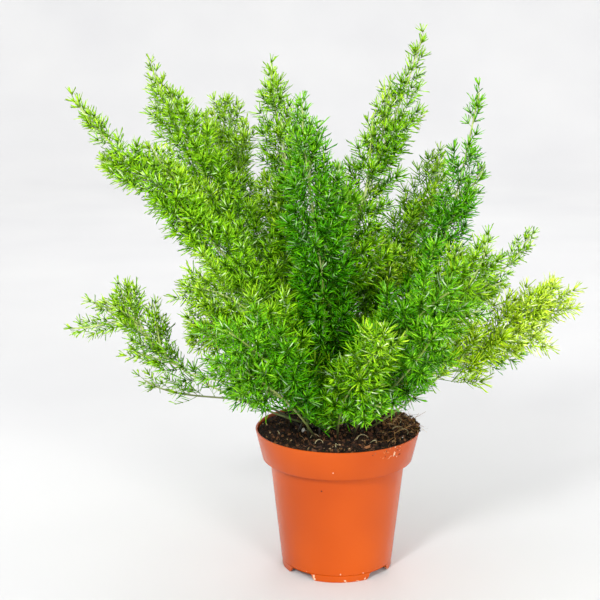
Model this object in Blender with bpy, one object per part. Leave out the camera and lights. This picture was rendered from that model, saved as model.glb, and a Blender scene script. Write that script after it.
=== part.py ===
"""A potted foxtail fern, the plumed asparagus fern, in a 13 cm nursery pot.

The pot stands on the ground at z = 0 with its axis on z. It holds a plug of soil, and each plume
is one leafy stem that stands in a plain hole in the soil: a slim three-sided stem, with
branchlets and needles raised from the faces of its leaf nodes. Metres, +Z up, -Y is the front.
"""

import math
import random
from collections import namedtuple

import bmesh
import bpy
import numpy as np
from mathutils import Quaternion, Vector
from mathutils.geometry import interpolate_bezier

# Pot: a thin moulded shell with a deep collar and a notched foot ring
POT_HEIGHT = 0.113
LIP_RADIUS = 0.065
COLLAR_HEIGHT = 0.0235
COLLAR_FOOT_RADIUS = 0.0596
BODY_TOP_RADIUS = 0.0537
BASE_RADIUS = 0.044
WALL = 0.0014
FOOT_HEIGHT = 0.0065
FOOT_STEP = 0.0005
FOOT_WIDTH = 0.0025
POT_SIDES = 40
NOTCH_WIDTH = 0.0215
NOTCH_HEIGHT = 0.0052
NOTCH_CORNER = 0.002
NOTCH_HEADINGS = (-130, -40, 50, 140)
DRAIN_RADIUS = 0.0045
DRAIN_CIRCLE = 0.027
DRAIN_SIDES = 12

# Soil
SOIL_TOP = 0.108
SOIL_GAP = 0.0003
SOIL_RINGS = (0.048, 0.030, 0.012)
SOIL_ROUGHNESS = 0.0012
HOLE_RADIUS = 0.0020
HOLE_DEPTH = 0.012
HOLE_SIDES = 6

# Stems
STEM_FOOT_RADIUS = 0.0012
STEM_TIP_RADIUS = 0.0008
STEM_RISE = 0.003
STEM_HANDLE = 0.36
BARE_STEM = 0.028
NODE_SPACING = 0.0255
NODE_LENGTH = 0.0020
NODE_TWIST = 47

# Branchlets and needles
BRANCHLET_RADIUS = 0.0007
BRANCHLET_RADII = (0.0013, BRANCHLET_RADIUS)
BRANCHLET_NODE = 0.0015
BRANCHLET_LEAN = 56
BRANCHLET_SHORTEST = 0.006
BRANCHLET_SHARES = (1, 0.62)
BRANCHLET_PLAY = (12, 24)
BRANCHLET_TRIM = 0.07
NEEDLE_LENGTH = 0.0115
NEEDLE_RADII = (0.0009, 0.00005)
STEM_NEEDLE_RADII = (0.0013, 0.00005)
NEEDLE_SHARES = (1, 0.8, 0.6)
BRANCHLET_NEEDLE_LEANS = (64, 40)
STEM_NEEDLE_LEANS = (66, 48)
PLUME_TAPER = 0.085
PLUME_TIP_RADIUS = 0.009
CLEARANCE = 0.0003
POT_CLEARANCE = 0.003
TRIES = 8
SEED = 11

# A plume's root and tip are polar: a heading in degrees from +X round to +Y, a distance from the
# pot's axis, and for the tip a height. Its leans are from the vertical, at the soil and at the tip.
Plume = namedtuple("Plume", "name root tip leans width tone")
PLUMES = (
    Plume("centre", (195, 0.032), (211, 0.035, 0.383), (-10, -10), 0.052, "deep"),
    Plume("tall_right", (150, 0.020), (31, 0.077, 0.429), (0, 20), 0.056, "mid"),
    Plume("tall_left_centre", (120, 0.004), (126, 0.096, 0.401), (20, 10), 0.038, "mid"),
    Plume("upper_left", (150, 0.032), (156, 0.173, 0.401), (-10, 30), 0.036, "mid"),
    Plume("far_left", (165, 0.024), (189, 0.194, 0.379), (10, 50), 0.044, "mid"),
    Plume("right_upright", (15, 0.012), (13, 0.110, 0.380), (40, 10), 0.042, "deep"),
    Plume("right_yellow", (330, 0.020), (7, 0.196, 0.214), (50, 90), 0.046, "yellow"),
    Plume("left_yellow", (225, 0.032), (209, 0.144, 0.238), (0, 90), 0.046, "yellow"),
    Plume("right_star", (300, 0.024), (304, 0.143, 0.250), (30, 60), 0.042, "mid"),
    Plume("front_left_star", (240, 0.012), (240, 0.156, 0.223), (50, 60), 0.042, "mid"),
    Plume("low_left_arch", (210, 0.008), (185, 0.169, 0.237), (70, -20), 0.040, "mid"),
    Plume("right_spiky", (30, 0.028), (325, 0.130, 0.284), (-20, 10), 0.040, "yellow"),
    Plume("right_small", (180, 0.012), (21, 0.170, 0.264), (-20, 30), 0.034, "mid"),
    Plume("rear_left_short", (135, 0.028), (130, 0.150, 0.369), (10, -10), 0.036, "mid"),
    Plume("right_light_tip", (120, 0.032), (48, 0.128, 0.322), (-10, 40), 0.040, "mid"),
    Plume("front_right", (270, 0.028), (282, 0.151, 0.230), (30, 40), 0.040, "yellow"),
    Plume("low_right", (45, 0.008), (16, 0.156, 0.152), (40, 70), 0.032, "mid"),
    Plume("low_left", (165, 0.032), (165, 0.173, 0.135), (50, 70), 0.032, "mid"),
    Plume("right_low_star", (315, 0.016), (298, 0.147, 0.226), (40, 40), 0.040, "mid"),
    Plume("low_left_star", (240, 0.032), (238, 0.132, 0.183), (40, 60), 0.038, "deep"),
    Plume("front_low", (270, 0.004), (267, 0.112, 0.161), (40, 80), 0.034, "deep"),
    Plume("back", (90, 0.024), (88, 0.145, 0.330), (0, 50), 0.048, "mid"),
    Plume("back_left", (135, 0.016), (126, 0.161, 0.300), (10, 70), 0.046, "mid"),
    Plume("back_right", (60, 0.028), (52, 0.171, 0.290), (-20, 70), 0.046, "mid"),
    Plume("back_low_left", (225, 0.020), (141, 0.192, 0.210), (-10, 60), 0.042, "deep"),
    Plume("back_low_right", (45, 0.028), (43, 0.191, 0.200), (10, 80), 0.042, "deep"),
    Plume("back_low", (90, 0.032), (90, 0.154, 0.190), (10, 90), 0.042, "deep"),
)

# Base colour, linear, and roughness
POT_FINISH = ((0.73, 0.105, 0.014), 0.38)
SOIL_FINISH = ((0.020, 0.013, 0.009), 0.95)
TONES = {
    "deep": ((0.030, 0.160, 0.014), 0.45),
    "mid": ((0.085, 0.290, 0.020), 0.45),
    "yellow": ((0.270, 0.480, 0.040), 0.45),
}

# A ring of a stem, and a branchlet before it is raised
Station = namedtuple("Station", "centre axis across radius from_tip")
Twig = namedtuple("Twig", "start axis across length")


class Crowd:
    """The stems, branchlets and needles placed so far, as tapered rods."""

    def __init__(self):
        self.starts = np.empty((0, 3))
        self.ends = np.empty((0, 3))
        self.radii = np.empty((0, 2))
        self.families = np.empty((0, 2), int)
        self.newest = 0

    def family(self):
        """A number for a new family of rods that grow from each other."""
        self.newest += 1
        return self.newest

    def add(self, start, end, radii, families):
        """Add a rod with a radius at each end. It belongs to one or two families."""
        self.starts = np.vstack((self.starts, start))
        self.ends = np.vstack((self.ends, end))
        self.radii = np.vstack((self.radii, radii))
        self.families = np.vstack((self.families, (families[0], families[-1])))

    def gaps(self, rods, radii, kin):
        """The smallest gap from each new (start, end) rod to the placed rods outside its kin."""
        starts, ends = (np.array(points) for points in zip(*rods))
        others = ~np.isin(self.families, kin).any(axis=1)
        p, q = starts[:, None], self.starts[others][None]
        along, across = (ends - starts)[:, None], (self.ends - self.starts)[others][None]
        apart = p - q
        aa, bb = (along**2).sum(-1), (across**2).sum(-1)
        ab, ar, br = (along * across).sum(-1), (along * apart).sum(-1), (across * apart).sum(-1)
        flat = np.maximum(aa * bb - ab**2, 1e-18)
        s = np.clip((ab * br - ar * bb) / flat, 0, 1)
        t = np.clip((ab * s + br) / bb, 0, 1)
        s = np.clip((ab * t - ar) / aa, 0, 1)
        distance = np.linalg.norm(apart + s[..., None] * along - t[..., None] * across, axis=-1)
        own = radii[0] + s * (radii[1] - radii[0])
        theirs = self.radii[others]
        other = theirs[:, 0] + t * (theirs[:, 1] - theirs[:, 0])
        return (distance - own - other).min(axis=1)


def material(name, finish):
    """A Principled material with a base colour and a roughness."""
    made = bpy.data.materials.new(name)
    made.use_nodes = True
    shader = made.node_tree.nodes["Principled BSDF"]
    shader.inputs["Base Color"].default_value = (*finish[0], 1)
    shader.inputs["Roughness"].default_value = finish[1]
    return made


def add_object(name, bm, finish, location, parent):
    """Turn a mesh under construction into a named object with its origin at location."""
    bmesh.ops.translate(bm, verts=bm.verts, vec=-Vector(location))
    mesh = bpy.data.meshes.new(name)
    bm.to_mesh(mesh)
    bm.free()
    mesh.materials.append(finish)
    made = bpy.data.objects.new(name, mesh)
    made.location = location
    made.parent = parent
    bpy.context.scene.collection.objects.link(made)
    return made


def turned(profile, sides):
    """Spin a profile of (radius, height) points that starts and ends on the z axis."""
    bm = bmesh.new()
    verts = [bm.verts.new((radius, 0, height)) for radius, height in profile]
    edges = [bm.edges.new(pair) for pair in zip(verts, verts[1:])]
    bmesh.ops.spin(
        bm, geom=verts + edges, axis=(0, 0, 1), cent=(0, 0, 0),
        angle=2 * math.pi, steps=sides, use_merge=True,
    )
    bmesh.ops.remove_doubles(bm, verts=bm.verts, dist=1e-6)
    bmesh.ops.recalc_face_normals(bm, faces=bm.faces)
    return bm


def cutter(name, bm, target):
    """Hide a mesh in the scene and cut it out of the target."""
    made = add_object(name, bm, target.data.materials[0], (0, 0, 0), target.parent)
    made.hide_render = True
    made.display_type = "WIRE"
    cut = target.modifiers.new(name, "BOOLEAN")
    cut.operation = "DIFFERENCE"
    cut.object = made
    return made


def inner_radius(height):
    """The radius of the pot's inner wall below the collar, at a height."""
    share = (height - FOOT_HEIGHT) / (POT_HEIGHT - COLLAR_HEIGHT - FOOT_HEIGHT)
    return BASE_RADIUS + FOOT_STEP + share * (BODY_TOP_RADIUS - BASE_RADIUS - FOOT_STEP) - WALL


def collar_inner_radius(height):
    """The radius of the collar's inner wall at a height."""
    share = (POT_HEIGHT - height) / COLLAR_HEIGHT
    return LIP_RADIUS - share * (LIP_RADIUS - COLLAR_FOOT_RADIUS) - WALL


def notch_cutter():
    """One block with rounded upper corners across the foot ring at each notch."""
    half = NOTCH_WIDTH / 2
    outline = [(-half, -NOTCH_HEIGHT), (half, -NOTCH_HEIGHT)]
    for middle, first in ((half - NOTCH_CORNER, 0), (NOTCH_CORNER - half, 90)):
        for angle in (first, first + 45, first + 90):
            y = middle + NOTCH_CORNER * math.cos(math.radians(angle))
            z = NOTCH_HEIGHT - NOTCH_CORNER * (1 - math.sin(math.radians(angle)))
            outline.append((y, z))
    bm = bmesh.new()
    inside = BASE_RADIUS - 3 * FOOT_WIDTH
    for heading in NOTCH_HEADINGS:
        turn = Quaternion((0, 0, 1), math.radians(heading))
        face = bm.faces.new([bm.verts.new(turn @ Vector((inside, y, z))) for y, z in outline])
        block = bmesh.ops.extrude_face_region(bm, geom=[face], use_keep_orig=True)["geom"]
        moved = [part for part in block if isinstance(part, bmesh.types.BMVert)]
        bmesh.ops.translate(bm, verts=moved, vec=turn @ Vector((5 * FOOT_WIDTH, 0, 0)))
    bmesh.ops.recalc_face_normals(bm, faces=bm.faces)
    return bm


def drain_cutter():
    """A hole in the middle of the floor and one between each pair of notches."""
    bm = bmesh.new()
    spots = [Vector((0, 0, FOOT_HEIGHT))]
    for heading in NOTCH_HEADINGS:
        turn = Quaternion((0, 0, 1), math.radians(heading + 45))
        spots.append(turn @ Vector((DRAIN_CIRCLE, 0, FOOT_HEIGHT)))
    for spot in spots:
        post = bmesh.ops.create_cone(
            bm, cap_ends=True, segments=DRAIN_SIDES,
            radius1=DRAIN_RADIUS, radius2=DRAIN_RADIUS, depth=4 * WALL,
        )
        bmesh.ops.translate(bm, verts=post["verts"], vec=spot)
    return bm


def add_pot(parent):
    """The pot: a turned shell, with notches cut through its foot ring and holes in its floor."""
    ledge = POT_HEIGHT - COLLAR_HEIGHT
    ring_inside = BASE_RADIUS - FOOT_WIDTH
    shell = turned(
        (
            (0, FOOT_HEIGHT),
            (ring_inside, FOOT_HEIGHT),
            (ring_inside, 0),
            (BASE_RADIUS, 0),
            (BASE_RADIUS + FOOT_STEP / 2, FOOT_HEIGHT - 2 * FOOT_STEP),
            (BASE_RADIUS + FOOT_STEP, FOOT_HEIGHT - FOOT_STEP),
            (BODY_TOP_RADIUS, ledge),
            (COLLAR_FOOT_RADIUS - FOOT_STEP, ledge),
            (COLLAR_FOOT_RADIUS, ledge + FOOT_STEP),
            (LIP_RADIUS, POT_HEIGHT),
            (LIP_RADIUS - WALL, POT_HEIGHT),
            (collar_inner_radius(ledge + WALL), ledge + WALL),
            (inner_radius(ledge + WALL), ledge + WALL),
            (inner_radius(FOOT_HEIGHT + WALL), FOOT_HEIGHT + WALL),
            (0, FOOT_HEIGHT + WALL),
        ),
        POT_SIDES,
    )
    pot = add_object("pot", shell, material("pot_plastic", POT_FINISH), (0, 0, 0), parent)
    pot.data.shade_smooth()
    pot.data.set_sharp_from_angle(angle=math.radians(30))
    cutter("notch_cutter", notch_cutter(), pot)
    cutter("drain_cutter", drain_cutter(), pot)


def root_point(plume):
    """Where the plume's stem leaves the soil's level."""
    turn = Quaternion((0, 0, 1), math.radians(plume.root[0]))
    return turn @ Vector((plume.root[1], 0, SOIL_TOP))


def add_soil(parent, rng):
    """The soil: a plug that fills the pot, lumpy on top, with a plain hole for each stem."""
    floor = FOOT_HEIGHT + WALL + SOIL_GAP
    ledge = POT_HEIGHT - COLLAR_HEIGHT + WALL + SOIL_GAP
    rings = [(radius, SOIL_TOP) for radius in SOIL_RINGS]
    profile = (
        (0, floor),
        (inner_radius(floor) - SOIL_GAP, floor),
        (inner_radius(ledge) - SOIL_GAP, ledge),
        (collar_inner_radius(ledge) - SOIL_GAP, ledge),
        (collar_inner_radius(SOIL_TOP) - SOIL_GAP, SOIL_TOP),
        *rings,
        (0, SOIL_TOP),
    )
    plug = turned(profile, POT_SIDES)
    for vert in plug.verts:
        if vert.co.z > SOIL_TOP - SOIL_GAP and vert.co.xy.length < SOIL_RINGS[0] + SOIL_GAP:
            vert.co.z += rng.uniform(-SOIL_ROUGHNESS, SOIL_ROUGHNESS)
    soil = add_object("soil", plug, material("soil", SOIL_FINISH), (0, 0, 0), parent)
    holes = bmesh.new()
    for plume in PLUMES:
        post = bmesh.ops.create_cone(
            holes, cap_ends=True, segments=HOLE_SIDES,
            radius1=HOLE_RADIUS, radius2=HOLE_RADIUS, depth=2 * HOLE_DEPTH,
        )
        bmesh.ops.translate(holes, verts=post["verts"], vec=root_point(plume))
    cutter("hole_cutter", holes, soil)


def leaning(heading, lean):
    """A unit vector that leans from the vertical toward a heading, both in degrees."""
    turn, tilt = math.radians(heading), math.radians(lean)
    flat = math.sin(tilt)
    return Vector((flat * math.cos(turn), flat * math.sin(turn), math.cos(tilt)))


def stem_line(plume):
    """Closely spaced points of the plume's curve, from just over the soil to its tip."""
    start = root_point(plume) + Vector((0, 0, STEM_RISE))
    heading, reach, height = plume.tip
    turn = math.radians(heading)
    tip = Vector((reach * math.cos(turn), reach * math.sin(turn), height))
    onward = math.degrees(math.atan2(tip.y - start.y, tip.x - start.x))
    handle = STEM_HANDLE * (tip - start).length
    lift = start + handle * leaning(plume.root[0], plume.leans[0])
    fall = tip - handle * leaning(onward, plume.leans[1])
    return interpolate_bezier(start, lift, fall, tip, 200)


def along(line, distance):
    """The point and the direction at a distance along a line of points."""
    for start, end in zip(line, line[1:]):
        step = (end - start).length
        if distance <= step:
            return start + (end - start) * (distance / step), (end - start).normalized()
        distance -= step
    return line[-1].copy(), (line[-1] - line[-2]).normalized()


def stem_stations(plume):
    """The rings of the stem: its foot, the soil's level, then two close rings at each leaf node."""
    line = stem_line(plume)
    length = sum((end - start).length for start, end in zip(line, line[1:]))
    leafy = length - BARE_STEM - 0.8 * NEEDLE_LENGTH
    count = max(3, round(leafy / NODE_SPACING) + 1)
    marks = []
    for node in range(count):
        low = BARE_STEM + leafy * node / (count - 1) - NODE_LENGTH / 2
        marks += [low, low + NODE_LENGTH]
    foot = root_point(plume) - Vector((0, 0, HOLE_DEPTH - SOIL_GAP))
    across = leaning(plume.root[0] + 90, 90)
    up = Vector((0, 0, 1))
    stations = [
        Station(foot, up, across, STEM_FOOT_RADIUS, length),
        Station(line[0].copy(), up, across, STEM_FOOT_RADIUS, length),
    ]
    for index, mark in enumerate(marks):
        centre, axis = along(line, mark)
        across = (across - across.dot(axis) * axis).normalized()
        if index % 2 == 0:
            across = Quaternion(axis, math.radians(NODE_TWIST)) @ across
        radius = STEM_FOOT_RADIUS + mark / length * (STEM_TIP_RADIUS - STEM_FOOT_RADIUS)
        stations.append(Station(centre, axis, across, radius, length - mark))
    return stations


def triangle(centre, axis, across, radius):
    """The three corners of a ring, counter-clockwise about its axis."""
    turns = (Quaternion(axis, step * 2 * math.pi / 3) for step in range(3))
    return [centre + radius * (turn @ across) for turn in turns]


def raise_face(bm, face, corners):
    """Extrude a triangle to new corners. Returns its top and, side by side, the six side triangles.

    Of each pair, the first has its middle low on the side and near its first corner, and the
    second has it high and near its next corner.
    """
    top = bmesh.ops.extrude_discrete_faces(bm, faces=[face])["faces"][0]
    raised = list(top.verts)
    for vert, corner in zip(raised, corners):
        vert.co = corner
    sides = []
    for index, vert in enumerate(raised):
        edge = bm.edges.get((vert, raised[(index + 1) % 3]))
        side = next(face for face in edge.link_faces if face is not top)
        opposite = next(
            other for other in side.verts
            if other not in edge.verts and not any(other in link.verts for link in vert.link_edges)
        )
        split = bmesh.utils.face_split(side, vert, opposite)[0]
        sides += sorted((side, split), key=lambda part: edge in part.edges)
    return top, sides


def spike(bm, face, apex):
    """Raise a triangle to a point."""
    bmesh.ops.poke(bm, faces=[face])["verts"][0].co = apex


def in_pot(point):
    """Whether a point is in the pot, its wall or its soil, or about to touch them."""
    low = point.z < POT_HEIGHT + POT_CLEARANCE
    return low and point.xy.length < LIP_RADIUS + POT_CLEARANCE


def needle_fan(centre, axis, across, leans):
    """Six needles round an axis, as (base, apex), in the order of a node's six side triangles."""
    fan = []
    for index in range(6):
        turn = Quaternion(axis, math.radians(30 + 60 * index))
        lean = math.radians(leans[index % 2])
        out = turn @ across
        base = centre + BRANCHLET_RADIUS / 2 * out
        fan.append((base, base + NEEDLE_LENGTH * (math.cos(lean) * axis + math.sin(lean) * out)))
    return fan


def add_needles(bm, crowd, faces, fan, radii, kin, family):
    """Raise a needle from each face, cut shorter where it would cross the crowd, or left out."""
    for face, (base, apex) in zip(faces, fan):
        for share in NEEDLE_SHARES:
            end = base + share * (apex - base)
            if not in_pot(end) and crowd.gaps([(base, end)], radii, kin)[0] > CLEARANCE:
                spike(bm, face, end)
                crowd.add(base, end, radii, (family,))
                break


def branchlet_fan(twig):
    """The needles of a branchlet: six round its end and one on its tip."""
    node = twig.start + twig.axis * (twig.length + BRANCHLET_NODE / 2)
    tip = twig.start + twig.axis * (twig.length + BRANCHLET_NODE)
    fan = needle_fan(node, twig.axis, twig.across, BRANCHLET_NEEDLE_LEANS)
    return fan + [(tip, tip + NEEDLE_LENGTH * twig.axis)]


def bend_clear(crowd, rng, face, station, length, kin):
    """Try a few directions for a branchlet, and return the twig with the most needles clear."""
    start = face.calc_center_median()
    out = start - station.centre
    out = (out - out.dot(station.axis) * station.axis).normalized()
    best, chosen = -1, None
    for attempt in range(TRIES):
        lean = math.radians(BRANCHLET_LEAN + rng.uniform(-1, 1) * BRANCHLET_PLAY[0])
        turn = Quaternion(station.axis, math.radians(rng.uniform(-1, 1) * BRANCHLET_PLAY[1]))
        axis = math.cos(lean) * station.axis + math.sin(lean) * (turn @ out)
        reach = length * (1 - BRANCHLET_TRIM * attempt * rng.random())
        across = face.verts[0].co - start
        across = (across - across.dot(axis) * axis).normalized()
        twig = Twig(start, axis, across, reach)
        end = start + axis * (reach + BRANCHLET_NODE)
        if in_pot((start + end) / 2) or in_pot(end):
            continue
        if crowd.gaps([(start, end)], BRANCHLET_RADII, kin)[0] < CLEARANCE:
            continue
        gaps = crowd.gaps(branchlet_fan(twig), NEEDLE_RADII, ())
        clear = int((gaps > CLEARANCE).sum())
        if clear > best:
            best, chosen = clear, twig
        if clear == len(gaps):
            break
    return chosen


def add_branchlet(bm, crowd, face, twig, node):
    """Raise a branchlet from a face of a stem's node, with a fan of needles at its end."""
    family = crowd.family()
    end = twig.start + twig.axis * (twig.length + BRANCHLET_NODE)
    neck = twig.start + twig.axis * twig.length
    top, _ = raise_face(bm, face, triangle(neck, twig.axis, twig.across, BRANCHLET_RADIUS))
    top, sides = raise_face(bm, top, triangle(end, twig.axis, twig.across, BRANCHLET_RADIUS))
    crowd.add(twig.start, end, BRANCHLET_RADII, (node, family))
    fan = branchlet_fan(twig)
    add_needles(bm, crowd, sides + [top], fan, NEEDLE_RADII, (family,), family)


def plume_radius(plume, from_tip):
    """How far the plume's needles reach from its stem, at a distance from its tip."""
    share = min(1, from_tip / PLUME_TAPER)
    swell = math.sin(share * math.pi / 2)
    return PLUME_TIP_RADIUS + swell * (plume.width / 2 - PLUME_TIP_RADIUS)


def add_leaf_node(bm, crowd, rng, plume, station, sides, kin, number):
    """Two sides of a stem's node carry a branchlet each, and the third carries two needles."""
    radius = plume_radius(plume, station.from_tip)
    lean = math.radians(BRANCHLET_LEAN)
    longest = (radius - NEEDLE_SHARES[-1] * NEEDLE_LENGTH) / math.sin(lean)
    fan = needle_fan(station.centre, station.axis, station.across, STEM_NEEDLE_LEANS)
    for side in range(3):
        pair = slice(2 * side, 2 * side + 2)
        turn = (side - number) % 3
        if turn == 0 or longest < BRANCHLET_SHORTEST:
            add_needles(bm, crowd, sides[pair], fan[pair], STEM_NEEDLE_RADII, kin, kin[1])
            continue
        length = max(BRANCHLET_SHORTEST, BRANCHLET_SHARES[turn - 1] * longest)
        face = sides[2 * side]
        twig = bend_clear(crowd, rng, face, station, length, kin)
        if twig:
            add_branchlet(bm, crowd, face, twig, kin[1])


def add_plume(plume, stations, stem, crowd, rng, parent):
    """One plume: a stem raised ring by ring, with branchlets and needles on each leaf node."""
    bm = bmesh.new()
    foot = [bm.verts.new(corner) for corner in triangle(*stations[0][:4])]
    top = bm.faces.new(foot)
    for index, station in enumerate(stations[1:]):
        top, sides = raise_face(bm, top, triangle(*station[:4]))
        if index > 0 and index % 2 == 0:
            kin = (stem, crowd.family())
            add_leaf_node(bm, crowd, rng, plume, station, sides, kin, index // 2)
    last = stations[-1].centre
    apex = last + NEEDLE_LENGTH * stations[-1].axis
    add_needles(bm, crowd, [top], [(last, apex)], NEEDLE_RADII, kin, kin[1])
    bm.faces.new(foot[::-1])
    finish = bpy.data.materials["foliage_" + plume.tone]
    add_object("plume_" + plume.name, bm, finish, root_point(plume), parent)


def main():
    for old in list(bpy.data.objects):
        bpy.data.objects.remove(old)
    rng = random.Random(SEED)
    whole = bpy.data.objects.new("potted_foxtail_fern", None)
    bpy.context.scene.collection.objects.link(whole)
    add_pot(whole)
    add_soil(whole, rng)
    for tone, finish in TONES.items():
        material("foliage_" + tone, finish)
    crowd = Crowd()
    grown = [(plume, stem_stations(plume), crowd.family()) for plume in PLUMES]
    for _, stations, stem in grown:
        for low, high in zip(stations[1:], stations[2:]):
            crowd.add(low.centre, high.centre, (low.radius, high.radius), (stem,))
    for plume, stations, stem in grown:
        add_plume(plume, stations, stem, crowd, rng, whole)


main()
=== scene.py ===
import math

import bpy
import numpy as np
from mathutils import Matrix, Vector, noise


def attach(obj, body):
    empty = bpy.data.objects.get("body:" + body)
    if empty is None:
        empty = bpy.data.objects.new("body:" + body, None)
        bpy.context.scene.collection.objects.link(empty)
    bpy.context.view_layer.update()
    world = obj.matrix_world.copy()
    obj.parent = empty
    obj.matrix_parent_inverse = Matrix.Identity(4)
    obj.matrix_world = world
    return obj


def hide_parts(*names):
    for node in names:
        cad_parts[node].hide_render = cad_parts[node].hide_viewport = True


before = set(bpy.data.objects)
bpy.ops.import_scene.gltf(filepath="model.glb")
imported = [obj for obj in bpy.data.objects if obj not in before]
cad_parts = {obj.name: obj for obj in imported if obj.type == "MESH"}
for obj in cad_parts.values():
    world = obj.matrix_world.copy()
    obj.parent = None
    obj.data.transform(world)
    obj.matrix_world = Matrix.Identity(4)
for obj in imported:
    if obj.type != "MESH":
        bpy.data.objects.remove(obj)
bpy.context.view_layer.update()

# Pot
# A nursery pot with a deep tapered collar, a thin lip and a stepped foot with four drain notches.
# Polypropylene, injection moulded in one shot, so the wall is even and every corner has a small round.
# The polished mould leaves a satin skin, and handling leaves dust and scuffs low down.
POT_HEIGHT = 0.113
LIP_RADIUS = 0.065
COLLAR_HEIGHT = 0.0235
COLLAR_FOOT_RADIUS = 0.0596
BODY_TOP_RADIUS = 0.0537
BASE_RADIUS = 0.044
POT_WALL = 0.0014
FOOT_HEIGHT = 0.0065
FOOT_STEP = 0.0005
FOOT_GROOVE = 0.0005
FOOT_GROOVE_DROPS = (0.0012, 0.0008, 0.0003)
COLLAR_UNDERCUT = 0.0005
FOOT_WIDTH = 0.0025
CORNER_ROUND = 0.0005
POT_STEPS = 144
NOTCH_HALF_WIDTH = 0.01075
NOTCH_HEIGHT = 0.0052
NOTCH_FLARE = 0.0025
NOTCH_TOP_ROUND = 0.002
NOTCH_FOOT_ROUND = 0.0015
NOTCH_START = 0.036
NOTCH_DEPTH = 0.014
NOTCH_BELOW = 0.001
NOTCH_BRINK = 0.00001
NOTCH_HEADINGS = (-130, -40, 50, 140)
DRAIN_RADIUS = 0.0045
DRAIN_CIRCLE = 0.027
DRAIN_TURN = 45
MERGE_DISTANCE = 1e-5
DARK_GRIT = (-0.0118, -0.0511, 0.0778)
LIGHT_GRIT = (-0.0030, -0.0611, 0.0960)


def inner_radius(height):
    """The inside radius of the pot's body at a height."""
    share = (height - FOOT_HEIGHT) / (POT_HEIGHT - COLLAR_HEIGHT - FOOT_HEIGHT)
    return BASE_RADIUS + FOOT_STEP - POT_WALL + share * (BODY_TOP_RADIUS - BASE_RADIUS - FOOT_STEP)


def collar_inner_radius(height):
    """The inside radius of the pot's collar at a height."""
    share = (POT_HEIGHT - height) / COLLAR_HEIGHT
    return LIP_RADIUS - share * (LIP_RADIUS - COLLAR_FOOT_RADIUS) - POT_WALL


def clear_selection():
    """Leaves nothing selected, so that the next operator acts on the new piece alone."""
    bpy.ops.object.select_all(action="DESELECT")


def pick(*pieces):
    """Leaves only these pieces selected, with the last one active."""
    clear_selection()
    for piece in pieces:
        piece.select_set(True)
    bpy.context.view_layer.objects.active = pieces[-1]


def drawn_line(name, points):
    """A line through the points in the XZ plane, drawn by pulling one corner onward, left in edit mode."""
    clear_selection()
    bpy.ops.mesh.primitive_plane_add(size=0.001)
    line = bpy.context.object
    line.name = line.data.name = name
    bpy.ops.object.mode_set(mode="EDIT")
    bpy.ops.mesh.merge(type="CENTER")
    bpy.ops.transform.translate(value=(points[0][0], 0, points[0][1]))
    for here, there in zip(points, points[1:]):
        step = (there[0] - here[0], 0, there[1] - here[1])
        bpy.ops.mesh.extrude_vertices_move(TRANSFORM_OT_translate={"value": step})
    return line


def round_corners(line, corners, radius, segments):
    """Rounds the line's corners that lie at the given places."""
    bpy.ops.mesh.select_all(action="DESELECT")
    bpy.ops.object.mode_set(mode="OBJECT")
    for vert in line.data.vertices:
        near = [(vert.co - Vector((r, 0, z))).length < MERGE_DISTANCE for r, z in corners]
        vert.select = any(near)
    bpy.ops.object.mode_set(mode="EDIT")
    bpy.ops.mesh.bevel(offset=radius, segments=segments, affect="VERTICES")


def spun(line, steps):
    """Turns the line round the Z axis to a skin, and leaves edit mode."""
    bpy.ops.mesh.select_all(action="SELECT")
    bpy.ops.mesh.spin(steps=steps, angle=math.tau, center=(0, 0, 0), axis=(0, 0, 1))
    bpy.ops.mesh.select_all(action="SELECT")
    bpy.ops.mesh.remove_doubles(threshold=MERGE_DISTANCE)
    bpy.ops.mesh.normals_make_consistent(inside=False)
    bpy.ops.object.mode_set(mode="OBJECT")
    return line


def cut_from(piece, cutter):
    """Cuts the cutter's shape out of the piece and removes the cutter."""
    pick(piece)
    cut = piece.modifiers.new("cut", "BOOLEAN")
    cut.operation = "DIFFERENCE"
    cut.solver = "EXACT"
    cut.object = cutter
    bpy.ops.object.modifier_apply(modifier=cut.name)
    bpy.data.objects.remove(cutter)


ledge = POT_HEIGHT - COLLAR_HEIGHT
ring_inside = BASE_RADIUS - FOOT_WIDTH
groove_foot, groove_middle, groove_top = (FOOT_HEIGHT - drop for drop in FOOT_GROOVE_DROPS)
foot_edge, collar_foot = (BASE_RADIUS, 0), (COLLAR_FOOT_RADIUS, ledge)
lip_outside, lip_inside = (LIP_RADIUS, POT_HEIGHT), (LIP_RADIUS - POT_WALL, POT_HEIGHT)
pot = drawn_line("moulded_pot", [
    (0, FOOT_HEIGHT), (ring_inside, FOOT_HEIGHT), (ring_inside, 0), foot_edge,
    (BASE_RADIUS, groove_foot), (BASE_RADIUS - FOOT_GROOVE, groove_middle),
    (BASE_RADIUS + FOOT_STEP, groove_top), (BODY_TOP_RADIUS, ledge + COLLAR_UNDERCUT), collar_foot,
    lip_outside, lip_inside, (collar_inner_radius(ledge + POT_WALL), ledge + POT_WALL),
    (inner_radius(ledge + POT_WALL), ledge + POT_WALL),
    (inner_radius(FOOT_HEIGHT + POT_WALL), FOOT_HEIGHT + POT_WALL), (0, FOOT_HEIGHT + POT_WALL),
])
round_corners(pot, [collar_foot], CORNER_ROUND, 3)
round_corners(pot, [lip_outside, lip_inside], CORNER_ROUND, 3)
round_corners(pot, [foot_edge], CORNER_ROUND, 2)
spun(pot, POT_STEPS)
flare = NOTCH_HALF_WIDTH + NOTCH_FLARE
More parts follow.
